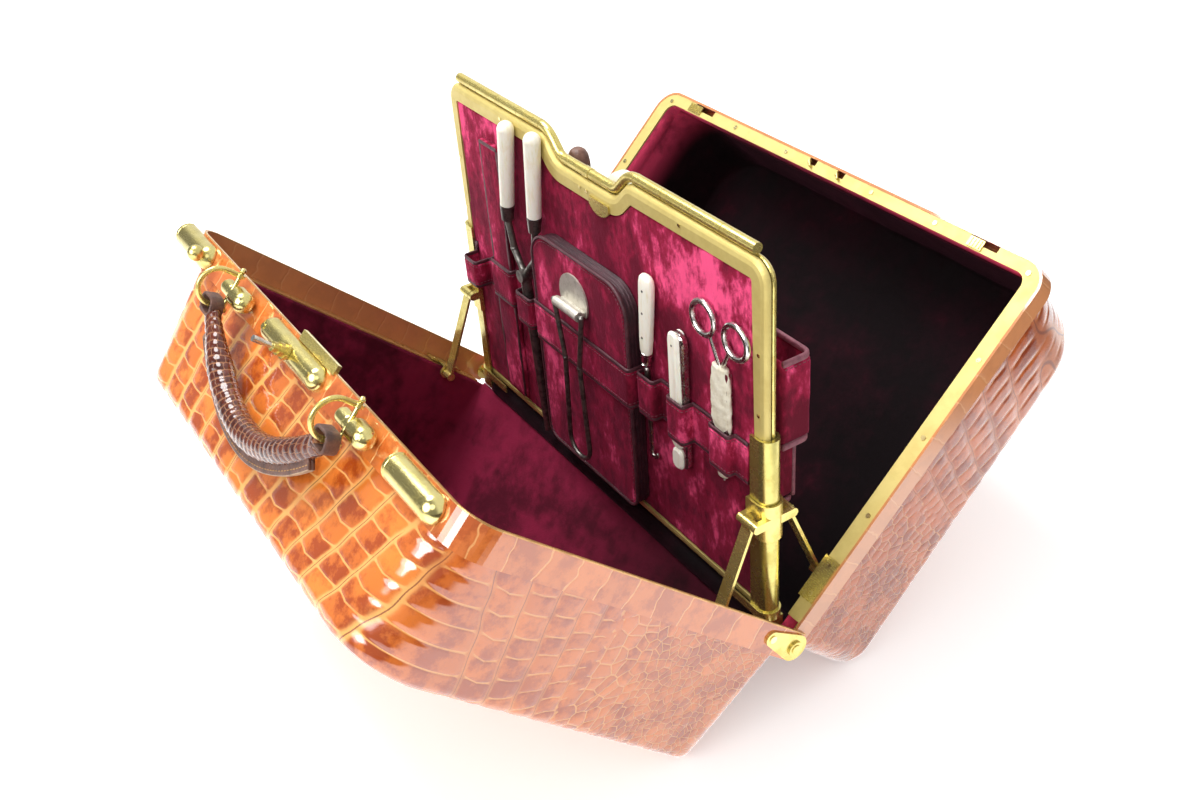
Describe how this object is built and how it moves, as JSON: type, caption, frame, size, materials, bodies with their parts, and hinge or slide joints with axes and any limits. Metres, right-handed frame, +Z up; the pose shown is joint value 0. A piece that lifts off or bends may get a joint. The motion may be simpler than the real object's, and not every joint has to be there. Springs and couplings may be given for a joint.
{
  "type": "vanity case",
  "caption": "Fitted travelling vanity case in crocodile leather, standing open: two velvet-lined trays, brass frames, a lift-out tool panel and a swing handle",
  "frame": {"origin": "on the ground, centred under the case", "axes": "X along the hinge line, Y from the front tray towards the rear tray, Z up"},
  "size_m": [0.409, 0.5188, 0.3392],
  "materials": {
    "crocodile_leather": "glossy, large scales",
    "crocodile_rim": "glossy",
    "handle_leather": "glossy, worn",
    "handle_binding": "dull, stitched",
    "polished_brass": "polished",
    "brass_screws": "polished",
    "dark_velvet": "crushed velvet",
    "crimson_velvet": "crushed velvet",
    "sheath_leather": "soft",
    "ivory": "polished bone",
    "dark_steel": "tarnished",
    "bright_steel": "worn nickel",
    "brown_leather": "satin"
  },
  "bodies": {
    "centre": {"hinge_pins": "polished_brass", "hinge_roll": "dark_velvet", "posts": "polished_brass", "base_stirrups": "polished_brass"},
    "front_half": {"front_shell": "crocodile_leather", "front_rim": "crocodile_rim", "front_frame": "polished_brass", "front_lining": "dark_velvet", "front_hinge_plates": "polished_brass", "front_link_brackets": "polished_brass", "front_screws": "brass_screws", "handle_bosses": "polished_brass", "lock_cover": "polished_brass", "lock_nozzle": "polished_brass", "lock_plate": "polished_brass", "catch_tracks": "polished_brass"},
    "rear_half": {"rear_shell": "crocodile_leather", "rear_rim": "crocodile_rim", "rear_frame": "polished_brass", "rear_lining": "dark_velvet", "rear_hinge_plates": "polished_brass", "rear_link_brackets": "polished_brass", "rear_screws": "brass_screws", "strikes": "polished_brass"},
    "left_catch": {"catch_left": "polished_brass"},
    "right_catch": {"catch_right": "polished_brass"},
    "bolt": {"lock_bolt": "polished_brass"},
    "key_body": {"key": "bright_steel"},
    "left_ring": {"handle_ring_left": "polished_brass"},
    "right_ring": {"handle_ring_right": "polished_brass"},
    "handle": {"handle_grip": "handle_leather", "handle_flange": "handle_binding", "handle_loops": "handle_binding"},
    "left_collar": {"collar_left": "polished_brass"},
    "right_collar": {"collar_right": "polished_brass"},
    "front_left_link": {"front_link_left": "polished_brass"},
    "front_right_link": {"front_link_right": "polished_brass"},
    "rear_left_link": {"rear_link_left": "polished_brass"},
    "rear_right_link": {"rear_link_right": "polished_brass"},
    "panel": {"front_leaf_frame": "polished_brass", "rear_leaf_frame": "polished_brass", "leaf_clip": "polished_brass", "leaf_knuckles": "polished_brass", "carry_tube": "polished_brass", "frame_rivets": "brass_screws", "front_board": "crimson_velvet", "rear_board": "crimson_velvet", "front_straps": "crimson_velvet", "front_pouch": "crimson_velvet", "rear_pocket": "dark_velvet", "loop_plate": "bright_steel"},
    "sheath_body": {"sheath": "sheath_leather"},
    "tongs": {"tongs_handles": "ivory", "tongs_irons": "dark_steel"},
    "hook": {"button_hook": "ivory"},
    "knife_body": {"knife": "ivory"},
    "scissors_body": {"scissors": "bright_steel"},
    "wire": {"wire_loop": "dark_steel"},
    "brush_body": {"brush": "ivory"},
    "case_body": {"stick_case": "brown_leather"}
  },
  "joints": [
    {"name": "front_closing", "type": "hinge", "parent": "centre", "child": "front_half", "pos_m": [0, 0, 0.0751], "axis": [1, 0, 0], "range_deg": [-46.7, 0]},
    {"name": "rear_closing", "type": "hinge", "parent": "centre", "child": "rear_half", "pos_m": [0, 0, 0.0751], "axis": [1, 0, 0], "range_deg": [0, 46.7]},
    {"name": "left_collar_travel", "type": "slide", "parent": "centre", "child": "left_collar", "axis": [0, 0, 1], "range_m": [0, 0.0276]},
    {"name": "right_collar_travel", "type": "slide", "parent": "centre", "child": "right_collar", "axis": [0, 0, 1], "range_m": [0, 0.0276]},
    {"name": "front_left_link_turn", "type": "hinge", "parent": "left_collar", "child": "front_left_link", "pos_m": [-0.176, -0.0134, 0.1631], "axis": [1, 0, 0], "range_deg": [0, 24.5]},
    {"name": "rear_left_link_turn", "type": "hinge", "parent": "left_collar", "child": "rear_left_link", "pos_m": [-0.176, 0.0134, 0.1631], "axis": [1, 0, 0], "range_deg": [-24.5, 0]},
    {"name": "front_right_link_turn", "type": "hinge", "parent": "right_collar", "child": "front_right_link", "pos_m": [0.176, -0.0134, 0.1631], "axis": [1, 0, 0], "range_deg": [0, 24.5]},
    {"name": "rear_right_link_turn", "type": "hinge", "parent": "right_collar", "child": "rear_right_link", "pos_m": [0.176, 0.0134, 0.1631], "axis": [1, 0, 0], "range_deg": [-24.5, 0]},
    {"name": "panel_lift", "type": "slide", "parent": "centre", "child": "panel", "axis": [0, 0, 1], "range_m": [0, 0.14]},
    {"name": "sheath_lift", "type": "slide", "parent": "panel", "child": "sheath_body", "axis": [0, 0, 1], "range_m": [0, 0.11]},
    {"name": "tongs_lift", "type": "slide", "parent": "panel", "child": "tongs", "axis": [0, 0, 1], "range_m": [0, 0.12]},
    {"name": "button_hook_lift", "type": "slide", "parent": "panel", "child": "hook", "axis": [0, 0, 1], "range_m": [0, 0.07]},
    {"name": "knife_lift", "type": "slide", "parent": "panel", "child": "knife_body", "axis": [0, 0, 1], "range_m": [0, 0.055]},
    {"name": "scissors_lift", "type": "slide", "parent": "panel", "child": "scissors_body", "axis": [0, 0, 1], "range_m": [0, 0.04]},
    {"name": "wire_loop_swing", "type": "hinge", "parent": "panel", "child": "wire", "pos_m": [-0.004, -0.0218, 0.2301], "axis": [-1, 0, 0], "range_deg": [0, 120]},
    {"name": "brush_lift", "type": "slide", "parent": "panel", "child": "brush_body", "axis": [0, 0, 1], "range_m": [0, 0.112]},
    {"name": "case_lift", "type": "slide", "parent": "panel", "child": "case_body", "axis": [0, 0, 1], "range_m": [0, 0.112]},
    {"name": "handle_swing", "type": "hinge", "parent": "front_half", "child": "handle", "pos_m": [0, -0.2176, 0.28016], "axis": [-1, 0, 0], "range_deg": [0, 190]},
    {"name": "left_ring_lean", "type": "hinge", "parent": "front_half", "child": "left_ring", "pos_m": [-0.09, -0.21033, 0.2733], "axis": [0, -0.6858, -0.7278], "range_deg": [-8, 8]},
    {"name": "right_ring_lean", "type": "hinge", "parent": "front_half", "child": "right_ring", "pos_m": [0.09, -0.21033, 0.2733], "axis": [0, -0.6858, -0.7278], "range_deg": [-8, 8]},
    {"name": "left_catch_slide", "type": "slide", "parent": "front_half", "child": "left_catch", "axis": [1, 0, 0], "range_m": [0, 0.01]},
    {"name": "right_catch_slide", "type": "slide", "parent": "front_half", "child": "right_catch", "axis": [1, 0, 0], "range_m": [0, 0.008]},
    {"name": "key_turn", "type": "hinge", "parent": "front_half", "child": "key_body", "pos_m": [-0.004, -0.20232, 0.26575], "axis": [0, -0.7278, 0.6858], "range_deg": [0, 90]},
    {"name": "bolt_slide", "type": "slide", "parent": "front_half", "child": "bolt", "axis": [1, 0, 0], "range_m": [0, 0.005]}
  ],
  "couplings": [
    {"joint": "rear_closing", "follows": "front_closing", "ratio": -1},
    {"joint": "left_collar_travel", "follows": "front_closing", "m_per_rad": -0.033661},
    {"joint": "right_collar_travel", "follows": "front_closing", "m_per_rad": -0.033661},
    {"joint": "front_left_link_turn", "follows": "front_closing", "ratio": -0.52215},
    {"joint": "rear_left_link_turn", "follows": "front_closing", "ratio": 0.52215},
    {"joint": "front_right_link_turn", "follows": "front_closing", "ratio": -0.52215},
    {"joint": "rear_right_link_turn", "follows": "front_closing", "ratio": 0.52215},
    {"joint": "key_turn", "follows": "bolt_slide", "rad_per_m": 314.1}
  ]
}
